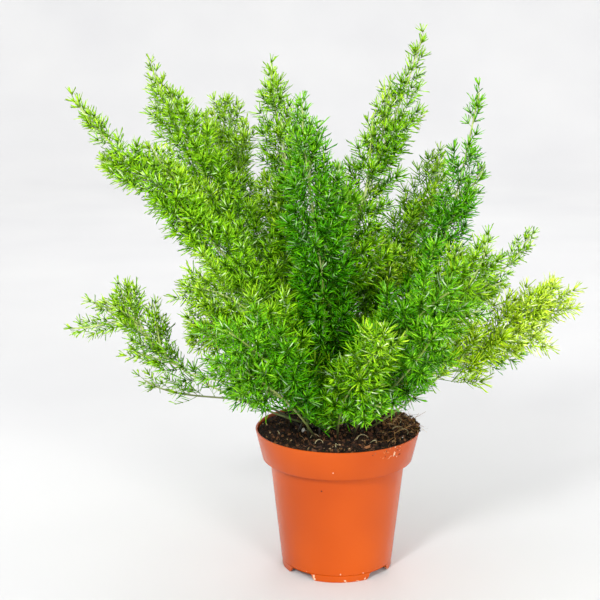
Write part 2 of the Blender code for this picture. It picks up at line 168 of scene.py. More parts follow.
for heading in NOTCH_HEADINGS:
    notch = drawn_line("notch", [
        (-flare, -NOTCH_BELOW), (-flare, NOTCH_BRINK), (-NOTCH_HALF_WIDTH, NOTCH_FLARE),
        (-NOTCH_HALF_WIDTH, NOTCH_HEIGHT), (NOTCH_HALF_WIDTH, NOTCH_HEIGHT), (NOTCH_HALF_WIDTH, NOTCH_FLARE),
        (flare, NOTCH_BRINK), (flare, -NOTCH_BELOW),
    ])
    for level, radius, segments in ((NOTCH_HEIGHT, NOTCH_TOP_ROUND, 4), (NOTCH_FLARE, NOTCH_FOOT_ROUND, 3)):
        round_corners(notch, [(-NOTCH_HALF_WIDTH, level), (NOTCH_HALF_WIDTH, level)], radius, segments)
    bpy.ops.mesh.select_all(action="SELECT")
    bpy.ops.mesh.edge_face_add()
    bpy.ops.mesh.extrude_region_move(TRANSFORM_OT_translate={"value": (0, NOTCH_DEPTH, 0)})
    bpy.ops.mesh.select_all(action="SELECT")
    bpy.ops.mesh.normals_make_consistent(inside=False)
    bpy.ops.object.mode_set(mode="OBJECT")
    turned = Matrix.Rotation(math.radians(heading - 90), 4, "Z")
    notch.data.transform(turned @ Matrix.Translation((0, NOTCH_START, 0)))
    cut_from(pot, notch)
for heading in (None, *NOTCH_HEADINGS):
    clear_selection()
    reach = 0 if heading is None else DRAIN_CIRCLE
    turn = math.radians((heading or 0) + DRAIN_TURN)
    spot = (reach * math.cos(turn), reach * math.sin(turn), FOOT_HEIGHT + POT_WALL / 2)
    bpy.ops.mesh.primitive_cylinder_add(
        vertices=28, radius=DRAIN_RADIUS, depth=4 * POT_WALL, location=spot
    )
    bpy.ops.object.transform_apply()
    cut_from(pot, bpy.context.object)
pick(pot)
bpy.ops.object.shade_smooth_by_angle(angle=math.radians(32))


def linear(colour):
    """An sRGB hex colour as linear RGBA."""
    values = [int(colour[i:i + 2], 16) / 255 for i in (0, 2, 4)]
    return [v / 12.92 if v <= 0.04045 else ((v + 0.055) / 1.055) ** 2.4 for v in values] + [1]


def dress(tree, made, settings, links):
    """Sets a node's properties, input values and colour stops, and links its inputs to outputs."""
    for key, value in settings.items():
        if key == "stops":
            band = made.color_ramp.elements
            while len(band) < len(value):
                band.new(0.5)
            for element, (place, colour) in zip(band, value):
                element.position, element.color = place, linear(colour)
        elif isinstance(key, str) and hasattr(made, key):
            setattr(made, key, value)
        else:
            made.inputs[key].default_value = value
    for key, output in links.items():
        tree.links.new(output, made.inputs[key])
    return made


def node(tree, kind, settings={}, links={}):
    """Adds a node with its settings and links."""
    return dress(tree, tree.nodes.new(kind), settings, links)


def new_material(name):
    """An empty node material, its tree and its Principled shader."""
    made = bpy.data.materials.new(name)
    made.use_nodes = True
    return made, made.node_tree, made.node_tree.nodes["Principled BSDF"]


# Moulded polypropylene: an opaque orange with faint flow clouds, satin, with a slight orange peel. Worn pale
# spots sit along the foot, damp soil has left a smear below the lip, and one dark and one light grit mark it.
# A noise of scale s has marks about 1000 / s mm wide: clouds of 62 mm, scuffs of 5 mm and a peel of 2 mm.
# Inputs 1 to 4 of a Map Range node are its from range and its to range, and 6 and 7 of a Mix are its colours.
polypropylene, tree, shader = new_material("moulded_polypropylene_orange")
place = node(tree, "ShaderNodeTexCoord").outputs["Object"]
clouds = node(tree, "ShaderNodeTexNoise", {"Scale": 16, "Detail": 1}, {"Vector": place})
oranges = [(0, "a43b03"), (1, "d25a0b")]
colour = node(tree, "ShaderNodeValToRGB", {"stops": oranges}, {0: clouds.outputs["Fac"]}).outputs[0]
height = node(tree, "ShaderNodeSeparateXYZ", {}, {0: place}).outputs["Z"]
wear = node(tree, "ShaderNodeTexNoise", {"Scale": 210, "Detail": 3}, {"Vector": place}).outputs["Fac"]
near_foot = node(tree, "ShaderNodeMapRange", {1: 0.0035, 2: 0.016, 3: 0.63, 4: 0.86}, {0: height})
above = {"operation": "GREATER_THAN"}
worn = node(tree, "ShaderNodeMath", above, {0: wear, 1: near_foot.outputs[0]})
smear = node(tree, "ShaderNodeTexNoise", {"Scale": 420, "Detail": 3}, {"Vector": place}).outputs["Fac"]
marks = [(worn.outputs[0], "e8bc9c")]
# Place, size in m and tone of the smear's two layers and of the two grits
for spot, size, tone in (
    ((0.036, -0.050, 0.109), 0.017, "c06c36"), ((0.043, -0.045, 0.108), 0.012, "e6b48c"),
    (DARK_GRIT, 0.0009, "5a1c04"), (LIGHT_GRIT, 0.0006, "ecc0a2"),
):
    away = node(tree, "ShaderNodeVectorMath", {"operation": "DISTANCE", 1: spot}, {0: place}).outputs["Value"]
    if spot in (DARK_GRIT, LIGHT_GRIT):
        mark = node(tree, "ShaderNodeMapRange", {1: size * 0.6, 2: size, 3: 1, 4: 0}, {0: away})
    else:
        needed = node(tree, "ShaderNodeMapRange", {1: 0, 2: size, 3: 0.56, 4: 0.80}, {0: away})
        mark = node(tree, "ShaderNodeMath", above, {0: smear, 1: needed.outputs[0]})
    marks.append((mark.outputs[0], tone))
for mark, tone in marks:
    mixed = node(tree, "ShaderNodeMix", {"data_type": "RGBA", 7: linear(tone)}, {0: mark, 6: colour})
    colour = mixed.outputs[2]
peel = node(tree, "ShaderNodeTexNoise", {"Scale": 420, "Detail": 2}, {"Vector": place})
bump = node(tree, "ShaderNodeBump", {"Strength": 0.05, "Distance": 0.0004}, {"Height": peel.outputs["Fac"]})
dress(tree, shader, {"Roughness": 0.26, "IOR": 1.49, "Specular IOR Level": 0.3}, {
    "Base Color": colour, "Normal": bump.outputs[0],
})
pot.data.materials.append(polypropylene)
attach(pot, "root")
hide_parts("pot")

# Soil
# Potting mix: peat and composted bark, nearly black when damp, pressed in by hand to just under the lip.
# It is heaped to the lip on the right, and peat crumbs lie loose on it.
# A pair of values is a range, or for a heading its mean and spread in degrees.
SOIL_LEVEL = 0.108
SOIL_RISE = 0.0034
SOIL_GAP = 0.0003
SOIL_EDGE_DROP = 0.004
SOIL_RING_STEP = 0.0012
SOIL_STEPS = 180
LUMPS_PER_METRE = 130
LUMP_FRACTAL = (0.9, 2.2, 5)
LUMP_HEIGHT = 0.0011
HEAP_HEIGHT = 0.0028
HEAP_HEADING = 14
HEAP_START = 0.028
HEAP_RAMP = 0.030
CRUMBS = 2600
CRUMB_MARGIN = 0.001
CRUMB_LIFT = 0.0003
SMALLEST_CRUMB = 0.0009
CRUMB_RANGE = 0.0022
CRUMB_BIAS = 2.5
CRUMB_STRETCH = (0.7, 1.3)
LIP_CRUMBS = 150
LIP_CRUMB_HEADING = (8, 24)
LIP_CRUMB_INSIDE = 0.0615
LIP_CRUMB_OVERHANG = 0.0004
LIP_CRUMB_LIFT = (0.0002, 0.0016)
LIP_CRUMB_SIZE = (0.0007, 0.0020)
STUCK_CRUMBS = 16
STUCK_HEADING = (-49, 7)
STUCK_DROP = (0.001, 0.009)
STUCK_LIFT = 0.0001
STUCK_SIZE = (0.0004, 0.0009)


def soil_height(x, y):
    """The soil's surface: lumpy, just under the lip and heaped over it at the right."""
    lumps = noise.fractal(Vector((x, y, 0)) * LUMPS_PER_METRE, *LUMP_FRACTAL)
    outward = min(1, max(0, math.hypot(x, y) - HEAP_START) / HEAP_RAMP)
    heading = math.atan2(y, x)
    heap = HEAP_HEIGHT * max(0, math.cos(heading - math.radians(HEAP_HEADING))) ** 2 * outward
    return SOIL_LEVEL + SOIL_RISE + heap + LUMP_HEIGHT * lumps


soil_floor = FOOT_HEIGHT + POT_WALL + SOIL_GAP
soil_ledge = ledge + POT_WALL + SOIL_GAP
soil_edge = collar_inner_radius(SOIL_LEVEL) - SOIL_GAP
soil_profile = [
    (0, soil_floor), (inner_radius(soil_floor) - SOIL_GAP, soil_floor),
    (inner_radius(soil_ledge) - SOIL_GAP, soil_ledge),
    (collar_inner_radius(soil_ledge) - SOIL_GAP, soil_ledge), (soil_edge, SOIL_LEVEL - SOIL_EDGE_DROP),
]
soil_rings = int(soil_edge / SOIL_RING_STEP)
soil_profile += [(soil_edge * (1 - i / soil_rings), SOIL_LEVEL) for i in range(soil_rings + 1)]
soil = spun(drawn_line("potting_mix", soil_profile), SOIL_STEPS)
for vert in soil.data.vertices:
    if vert.co.z > SOIL_LEVEL - MERGE_DISTANCE:
        vert.co.z = soil_height(vert.co.x, vert.co.y)
        vert.co.xy *= min(1, (collar_inner_radius(min(vert.co.z, POT_HEIGHT)) - SOIL_GAP) / soil_edge)
pick(soil)
bpy.ops.object.shade_smooth_by_angle(angle=math.radians(50))


def finished_shape():
    """The small model in edit mode as corners and triangles of corner numbers, and the model removed."""
    bpy.ops.mesh.select_all(action="SELECT")
    bpy.ops.mesh.normals_make_consistent(inside=False)
    bpy.ops.mesh.quads_convert_to_tris()
    bpy.ops.object.mode_set(mode="OBJECT")
    piece = bpy.context.object
    corners = np.array([vert.co for vert in piece.data.vertices])
    faces = np.array([face.vertices[:] for face in piece.data.polygons])
    bpy.data.objects.remove(piece)
    return corners, faces


# One crumb is modelled: a small block knocked out of shape.
clear_selection()
bpy.ops.mesh.primitive_cube_add(size=0.8)
bpy.ops.object.mode_set(mode="EDIT")
bpy.ops.transform.vertex_random(offset=0.22, seed=4)
bpy.ops.transform.resize(value=(1, 0.8, 0.6), center_override=(0, 0, 0))
crumb = finished_shape()


def unit(vectors):
    """The vectors, each brought to a length of one."""
    return vectors / np.linalg.norm(vectors, axis=1, keepdims=True)


def random_turns(rng, count):
    """Evenly spread random rotation matrices."""
    w, x, y, z = unit(rng.normal(size=(count, 4))).T
    rows = [
        [1 - 2 * (y * y + z * z), 2 * (x * y - z * w), 2 * (x * z + y * w)],
        [2 * (x * y + z * w), 1 - 2 * (x * x + z * z), 2 * (y * z - x * w)],
        [2 * (x * z - y * w), 2 * (y * z + x * w), 1 - 2 * (x * x + y * y)],
    ]
    return np.moveaxis(np.array(rows), 2, 0)


def added(name, data):
    """A new object in the scene that holds the data."""
    made = bpy.data.objects.new(name, data)
    bpy.context.scene.collection.objects.link(made)
    return made


def loose_piece(name, points, faces, tones, material):
    """Small copies on the soil in one mesh, each with its tone from 0 to 1."""
    mesh = bpy.data.meshes.new(name)
    mesh.from_pydata(points.tolist(), [], faces.tolist())
    tones = tones.repeat(len(points) // len(tones)).astype(np.float32)
    mesh.attributes.new("tone", "FLOAT", "POINT").data.foreach_set("value", tones)
    mesh.materials.append(material)
    piece = added(name, mesh)
    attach(piece, "root")


def strewn(name, shape, places, sizes, rng, material):
    """Copies of one small shape at the places, each with a random turn and tone."""
    corners, faces = shape
    turns = random_turns(rng, len(places))
    points = np.einsum("nij,nkj->nki", turns, corners[None] * sizes[:, None]) + places[:, None]
    offsets = np.arange(len(places))[:, None, None] * len(corners)
    tones = np.random.default_rng(len(places)).uniform(size=len(places))
    loose_piece(name, points.reshape(-1, 3), (faces[None] + offsets).reshape(-1, 3), tones, material)


def soil_spots(rng, count, edge, lift):
    """Random places on the soil's surface inside a radius."""
    radius = edge * np.sqrt(rng.uniform(size=count))
    angle = rng.uniform(0, math.tau, count)
    x, y = radius * np.cos(angle), radius * np.sin(angle)
    z = np.array([soil_height(a, b) for a, b in zip(x, y)]) + lift
    return np.stack([x, y, z], axis=1)


# Damp peat: near black with brown grains of about 2 mm in patches of 11 mm, and no shine.
peat, tree, shader = new_material("damp_peat_mix")
place = node(tree, "ShaderNodeTexCoord").outputs["Object"]
peat_noise = {"Scale": 520, "Detail": 5, "Roughness": 0.7}
grains = node(tree, "ShaderNodeTexNoise", peat_noise, {"Vector": place}).outputs["Fac"]
patches = node(tree, "ShaderNodeTexNoise", {"Scale": 90, "Detail": 3}, {"Vector": place}).outputs["Fac"]
both = node(tree, "ShaderNodeMath", {"operation": "MULTIPLY"}, {0: grains, 1: patches}).outputs[0]
browns = [(0.10, "0b0705"), (0.24, "1f140d"), (0.36, "3a2617"), (0.5, "5c4027")]
colour = node(tree, "ShaderNodeValToRGB", {"stops": browns}, {0: both}).outputs[0]
bump = node(tree, "ShaderNodeBump", {"Strength": 0.9, "Distance": 0.0012}, {"Height": grains})
dress(tree, shader, {"Roughness": 0.92, "Specular IOR Level": 0.25}, {
    "Base Color": colour, "Normal": bump.outputs[0],
})
soil.data.materials.append(peat)
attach(soil, "root")
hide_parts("soil")

# Loose crumbs take their brown from their own tone: most are nearly black, a few are pale bits of fibre.
# Some lie over the lip at the right, and some stick to the collar below it.
crumb_peat, tree, shader = new_material("crumbled_peat")
tone = node(tree, "ShaderNodeAttribute", {"attribute_name": "tone"}).outputs["Fac"]
browns = [(0, "0f0b08"), (0.5, "291b12"), (0.8, "4c3020"), (0.96, "7d5636"), (1, "c4a87c")]
colour = node(tree, "ShaderNodeValToRGB", {"stops": browns}, {0: tone}).outputs[0]
dress(tree, shader, {"Roughness": 0.9, "Specular IOR Level": 0.3}, {"Base Color": colour})
rng = np.random.default_rng(3)
soil_crumbs = soil_spots(rng, CRUMBS, soil_edge - CRUMB_MARGIN, CRUMB_LIFT)
soil_sizes = SMALLEST_CRUMB + CRUMB_RANGE * rng.uniform(size=CRUMBS) ** CRUMB_BIAS
over_lip = np.radians(rng.normal(*LIP_CRUMB_HEADING, LIP_CRUMBS))
reach = rng.uniform(LIP_CRUMB_INSIDE, LIP_RADIUS + LIP_CRUMB_OVERHANG, LIP_CRUMBS)
lift = POT_HEIGHT + rng.uniform(*LIP_CRUMB_LIFT, LIP_CRUMBS)
lip_crumbs = np.stack([reach * np.cos(over_lip), reach * np.sin(over_lip), lift], axis=1)
stuck = np.radians(rng.normal(*STUCK_HEADING, STUCK_CRUMBS))
drop = rng.uniform(*STUCK_DROP, STUCK_CRUMBS)
reach = LIP_RADIUS - drop * (LIP_RADIUS - COLLAR_FOOT_RADIUS) / COLLAR_HEIGHT + STUCK_LIFT
stuck_crumbs = np.stack([reach * np.cos(stuck), reach * np.sin(stuck), POT_HEIGHT - drop], axis=1)
spots = np.concatenate([soil_crumbs, lip_crumbs, stuck_crumbs])
lip_sizes = rng.uniform(*LIP_CRUMB_SIZE, LIP_CRUMBS)
stuck_sizes = rng.uniform(*STUCK_SIZE, STUCK_CRUMBS)
sizes = np.concatenate([soil_sizes, lip_sizes, stuck_sizes])
sizes = sizes[:, None] * rng.uniform(*CRUMB_STRETCH, (len(spots), 3))
strewn("peat_crumbs", crumb, spots, sizes, rng, crumb_peat)

# Bark and perlite
# Bits in the mix: reddish chips of composted pine bark, and white perlite, a glass blown up by heat.
# They are stirred into the mix and show where they come up, most of them at the right front.
BIT_MARGIN = 0.003
CHIPS = 110
CHIP_LIFT = 0.0005
CHIP_SIZE = (0.0022, 0.0058)
CHIP_DRAW = (-1, 1.2)
PERLITE_GRAINS = 9
GRAIN_LIFT = 0.0004
SMALLEST_GRAIN = 0.0007
GRAIN_RANGE = 0.0012
GRAIN_STRETCH = (0.7, 1.2)
SHOWN_GRAIN = (-0.0268, -0.0100)
SHOWN_GRAIN_LIFT = 0.0020
SHOWN_GRAIN_SIZE = (0.0048, 0.0034, 0.0026)

# One chip is modelled: a flat splinter with broken ends.
clear_selection()
bpy.ops.mesh.primitive_cube_add(size=1)
bpy.ops.object.mode_set(mode="EDIT")
bpy.ops.transform.resize(value=(1, 0.42, 0.2), center_override=(0, 0, 0))
bpy.ops.mesh.bisect(plane_co=(0.1, 0, 0), plane_no=(1, 0.3, 0))
bpy.ops.mesh.select_all(action="SELECT")
bpy.ops.transform.vertex_random(offset=0.11, seed=2)
chip = finished_shape()
# Composted bark: red-brown and dull, with fibres of about 1 mm along its breaks.
bark, tree, shader = new_material("composted_pine_bark")
tone = node(tree, "ShaderNodeAttribute", {"attribute_name": "tone"}).outputs["Fac"]
browns = [(0, "24140c"), (0.5, "4b2a18"), (0.8, "74401f"), (1, "99653a")]
colour = node(tree, "ShaderNodeValToRGB", {"stops": browns}, {0: tone}).outputs[0]
place = node(tree, "ShaderNodeTexCoord").outputs["Object"]
fibre = node(tree, "ShaderNodeTexNoise", {"Scale": 900, "Detail": 3}, {"Vector": place})
bump = node(tree, "ShaderNodeBump", {"Strength": 0.6, "Distance": 0.0005}, {"Height": fibre.outputs["Fac"]})
dress(tree, shader, {"Roughness": 0.8}, {"Base Color": colour, "Normal": bump.outputs[0]})
# The further right and to the front a chip lies, the surer it stays.
rng = np.random.default_rng(8)
spots = soil_spots(rng, CHIPS, soil_edge - BIT_MARGIN, CHIP_LIFT)
to_right_front = (spots[:, 0] - spots[:, 1]) / soil_edge
spots = spots[rng.uniform(*CHIP_DRAW, CHIPS) < to_right_front]
sizes = rng.uniform(*CHIP_SIZE, len(spots))[:, None] * np.ones(3)
strewn("bark_chips", chip, spots, sizes, rng, bark)

# One grain of perlite is modelled: a pitted ball.
clear_selection()
bpy.ops.mesh.primitive_ico_sphere_add(subdivisions=2, radius=0.5)
bpy.ops.object.mode_set(mode="EDIT")
bpy.ops.transform.vertex_random(offset=0.09, seed=9)
grain = finished_shape()
# Perlite: chalky white glass foam, full of pits of 0.7 mm, with painted shade that makes them a little
# greyer.
perlite, tree, shader = new_material("expanded_perlite")
place = node(tree, "ShaderNodeTexCoord").outputs["Object"]
pit_shade = node(tree, "ShaderNodeTexNoise", {"Scale": 1400, "Detail": 2}, {"Vector": place})
whites = [(0.35, "a89c8c"), (0.6, "efece6")]
colour = node(tree, "ShaderNodeValToRGB", {"stops": whites}, {0: pit_shade.outputs["Fac"]}).outputs[0]
dress(tree, shader, {"Roughness": 0.75}, {"Base Color": colour})
rng = np.random.default_rng(12)
spots = soil_spots(rng, PERLITE_GRAINS, soil_edge - BIT_MARGIN, GRAIN_LIFT)
spots[0] = (*SHOWN_GRAIN, soil_height(*SHOWN_GRAIN) + SHOWN_GRAIN_LIFT)
sizes = SMALLEST_GRAIN + GRAIN_RANGE * rng.uniform(size=PERLITE_GRAINS) ** 2
sizes = sizes[:, None] * rng.uniform(*GRAIN_STRETCH, (PERLITE_GRAINS, 3))
sizes[0] = SHOWN_GRAIN_SIZE
strewn("perlite_grains", grain, spots, sizes, rng, perlite)

# Coir and roots
# Coir, the brown husk fibre of coconuts, is mixed in to hold water and tufts up at the right of the lip.
# Thin pale roots of the plant come up through the surface and dry there in loose curls.
COIR_FIBRES = 420
TUFT_SHARE = 0.7
TUFT_HEADING = (8, 26)
TUFT_REACH = (0.040, 0.0645)
TUFT_LENGTH = (0.003, 0.009)
LOOSE_REACH = 0.062
LOOSE_LENGTH = (0.002, 0.005)
FIBRE_WIDTH = (0.0003, 0.0006)
FIBRE_SPREAD = (1, 1, 0.35)
FIBRE_RISE = (0, 0, 0.25)
FIBRE_BEND = 0.45
FIBRE_SAG = (0, 0, 0.25)
FIBRE_LIFT = 0.0006
FIBRE_SINK = 0.0003
OVER_LIP_RADIUS = 0.0625
OVER_LIP_LEVEL = 0.1135
ROLLS = (0, 6)
ROOT_RADIUS = 0.00034
ROOT_STEP = 0.0006


def square_to(axes, turns):
    """The axes at unit length, and directions square to them that are turned round them."""
    axes = unit(axes)
    across = unit(np.cross(axes, np.where(np.abs(axes[:, 2:]) < 0.9, (0, 0, 1), (1, 0, 0))))
    over = np.cross(axes, across)
    return axes, across * np.cos(turns)[:, None] + over * np.sin(turns)[:, None]


def bent_copies(shape, starts, aims, pulls, lengths, widths, rng):
    """Copies of one rod of unit length. Each grows from its start along its aim and bends by its pull."""
    corners, faces = shape
    aims, side = square_to(aims, rng.uniform(*ROLLS, len(starts)))
    flat = np.cross(aims, side)
    x, y, z = (corners[None, :, i, None] for i in range(3))
    long = lengths[:, None, None]
    wide = widths[:, None, None]
    points = starts[:, None] + long * (z * aims[:, None] + z * z * pulls[:, None])
    points = points + wide * (x * side[:, None] + y * flat[:, None])
    offsets = np.arange(len(starts))[:, None, None] * len(corners)
    return points.reshape(-1, 3), (faces[None] + offsets).reshape(-1, 3)


def tapered_rod(sides, rings, point):
    """One rod of unit length and width, drawn out to a point or nearly, with rings to bend at."""
    clear_selection()
    bpy.ops.mesh.primitive_cone_add(vertices=sides, radius1=0.5, radius2=point, depth=1, location=(0, 0, 0.5))
    bpy.ops.object.transform_apply()
    bpy.ops.object.mode_set(mode="EDIT")
    for ring in rings:
        bpy.ops.mesh.select_all(action="SELECT")
        bpy.ops.mesh.bisect(plane_co=(0, 0, ring), plane_no=(0, 0, 1))
    return finished_shape()


fibre_shape = tapered_rod(3, (0.25, 0.5, 0.75), 0.2)
rng = np.random.default_rng(21)
at_right = rng.uniform(size=COIR_FIBRES) < TUFT_SHARE
tuft_heading = np.radians(rng.normal(*TUFT_HEADING, COIR_FIBRES))
heading = np.where(at_right, tuft_heading, rng.uniform(0, math.tau, COIR_FIBRES))
tuft_reach = rng.uniform(*TUFT_REACH, COIR_FIBRES)
reach = np.where(at_right, tuft_reach, LOOSE_REACH * rng.uniform(size=COIR_FIBRES) ** 0.5)
starts = np.stack([reach * np.cos(heading), reach * np.sin(heading), np.zeros(COIR_FIBRES)], axis=1)
starts[:, 2] = [
    max(soil_height(x, y), OVER_LIP_LEVEL if math.hypot(x, y) > OVER_LIP_RADIUS else 0) + FIBRE_LIFT
    for x, y, _ in starts
]
aims = rng.normal(size=(COIR_FIBRES, 3)) * FIBRE_SPREAD + FIBRE_RISE
pulls = rng.normal(size=(COIR_FIBRES, 3)) * FIBRE_BEND - FIBRE_SAG
tuft_length = rng.uniform(*TUFT_LENGTH, COIR_FIBRES)
lengths = np.where(at_right, tuft_length, rng.uniform(*LOOSE_LENGTH, COIR_FIBRES))
widths = rng.uniform(*FIBRE_WIDTH, COIR_FIBRES)
points, faces = bent_copies(fibre_shape, starts, aims, pulls, lengths, widths, rng)
points[:, 2] = np.maximum(points[:, 2], [soil_height(x, y) - FIBRE_SINK for x, y, _ in points])
# Coir fibre: from dark to straw brown, with a dull gloss.
coir_fibre, tree, shader = new_material("coconut_coir_fibre")
tone = node(tree, "ShaderNodeAttribute", {"attribute_name": "tone"}).outputs["Fac"]
browns = [(0, "4a2c17"), (0.45, "8a5a2e"), (0.8, "b98849"), (1, "dcc394")]
colour = node(tree, "ShaderNodeValToRGB", {"stops": browns}, {0: tone}).outputs[0]
dress(tree, shader, {"Roughness": 0.7}, {"Base Color": colour})
loose_piece("coir_fibres", points, faces, rng.uniform(size=COIR_FIBRES), coir_fibre)

# Dried root skin: pale straw and smooth, with a mottle of 2 mm.
dry_root, tree, shader = new_material("dried_root_skin")
place = node(tree, "ShaderNodeTexCoord").outputs["Object"]
skin_noise = node(tree, "ShaderNodeTexNoise", {"Scale": 500, "Detail": 2}, {"Vector": place})
straws = [(0.3, "8f8055"), (0.7, "d8cfa2")]
colour = node(tree, "ShaderNodeValToRGB", {"stops": straws}, {0: skin_noise.outputs["Fac"]}).outputs[0]
dress(tree, shader, {"Roughness": 0.6}, {"Base Color": colour})
# Each root rises out of the soil, arches over and lies down a little to its left.
roots = []
for x, y, length, turn in (
    (0.047, 0.020, 0.014, 262), (0.0475, -0.010, 0.013, 286), (0.043, -0.006, 0.009, 330),
    (-0.021, -0.027, 0.008, 20), (-0.017, -0.038, 0.006, 340), (-0.001, -0.048, 0.006, 60),
    (0.015, -0.027, 0.009, 5), (0.030, -0.036, 0.007, 200), (-0.045, -0.020, 0.006, 80),
):
    clear_selection()
    bpy.ops.curve.primitive_bezier_curve_add()
    root = bpy.context.object
    root.data.dimensions = "3D"
    root.data.bevel_depth = ROOT_RADIUS
    root.data.bevel_resolution = 1
    root.data.resolution_u = 10
    root.data.use_fill_caps = True
    heading = math.radians(turn)
    onward = Vector((math.cos(heading), math.sin(heading), 0))
    aside = Vector((-onward.y, onward.x, 0))
    ground = Vector((x, y, soil_height(x, y) - ROOT_STEP))
    first, last = root.data.splines[0].bezier_points
    first.co = ground
    first.handle_left = ground - Vector((0, 0, 0.001))
    first.handle_right = ground + Vector((0, 0, 0.004)) + 0.2 * length * onward
    end = ground + length * onward + 0.25 * length * aside
    last.co = (end.x, end.y, soil_height(end.x, end.y) + ROOT_STEP)
    last.handle_left = last.co - 0.35 * length * onward + Vector((0, 0, 0.0035)) + 0.4 * length * aside
    last.handle_right = last.co + 0.2 * length * onward
    last.radius = 0.5
    bpy.ops.object.convert(target="MESH")
    roots.append(bpy.context.object)
pick(*roots[1:], roots[0])
bpy.ops.object.join()
bpy.ops.object.transform_apply()
bare_roots = bpy.context.object
bare_roots.name = bare_roots.data.name = "bare_roots"
bpy.ops.object.shade_smooth()
bare_roots.data.materials.append(dry_root)
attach(bare_roots, "root")

# Plumes
# The plant: stiff arching stems out of one crown, each ringed with short branchlets of glossy needles.
# They grow from the soil one by one. Each stem is pale and round, and bare for its lowest few centimetres.
# The needles open in small stars, shorter and closer towards each plume's tip.
STEM_FOOT_RADIUS = 0.0009
STEM_TIP_RADIUS = 0.0006
SIDE_STEM_RADIUS = 0.0007
STEM_RISE = 0.003
STEM_FOOT_DEPTH = 0.0117
STEM_HANDLE = 0.36
PLUME_TIP_RADIUS = 0.0065
PLUME_SPREAD = 0.006
NEEDLE_WIDTH = 0.00108
NEEDLE_STEP = 0.0025
END_NEEDLES = 11
YOUNG_END_NEEDLES = 6
STEP_NEEDLES = 4
TIP_THINNING = 0.42
TIP_GAP = 0.009
LAST_BRANCHLET = 0.006
YOUNG_REACH = 0.11
SPREAD_REACH = 0.15
GAP_PLAY = 0.3
WAVE_KNOTS = 9
WAVE_HEIGHT = 0.35
UNEVENNESS = 0.45
REACH_LIMITS = (0.35, 1.5)
YOUNG_SHORTENING = 0.33
NEEDLE_OVERHANG = 0.62
BRANCHLET_LEAN = (60, 8)
YOUNG_LEAN = 22
SHORTEST_BRANCHLET = 0.0015
GOLDEN_ANGLE = 2.39996
TURN_PLAY = 0.3
BRANCHLET_BEND = (0.25, 0.6)
BRANCHLET_RISE = 0.04
NEEDLE_LEAN = (60, 10)
END_LEAN = (12, 82)
YOUNG_END_LEAN = 30
SPIN_PLAY = 0.25
NEEDLE_BEND = (0.02, 0.2)
NEEDLE_LENGTH_PLAY = 0.14
SHORTEST_NEEDLE = 0.003
NEEDLE_WIDTH_SHARES = (0.8, 1.15)
BARE_SHARE = 0.25
CLUMP_SIZE = 0.018
CLUMP_RAGGEDNESS = 0.8
CLUMP_LEVEL = 0.6
WHOLE_TIP = 0.035
BRANCHLET_WIDTH = 0.0007
SIDE_BARE = 6
SIDE_TAPER = 40
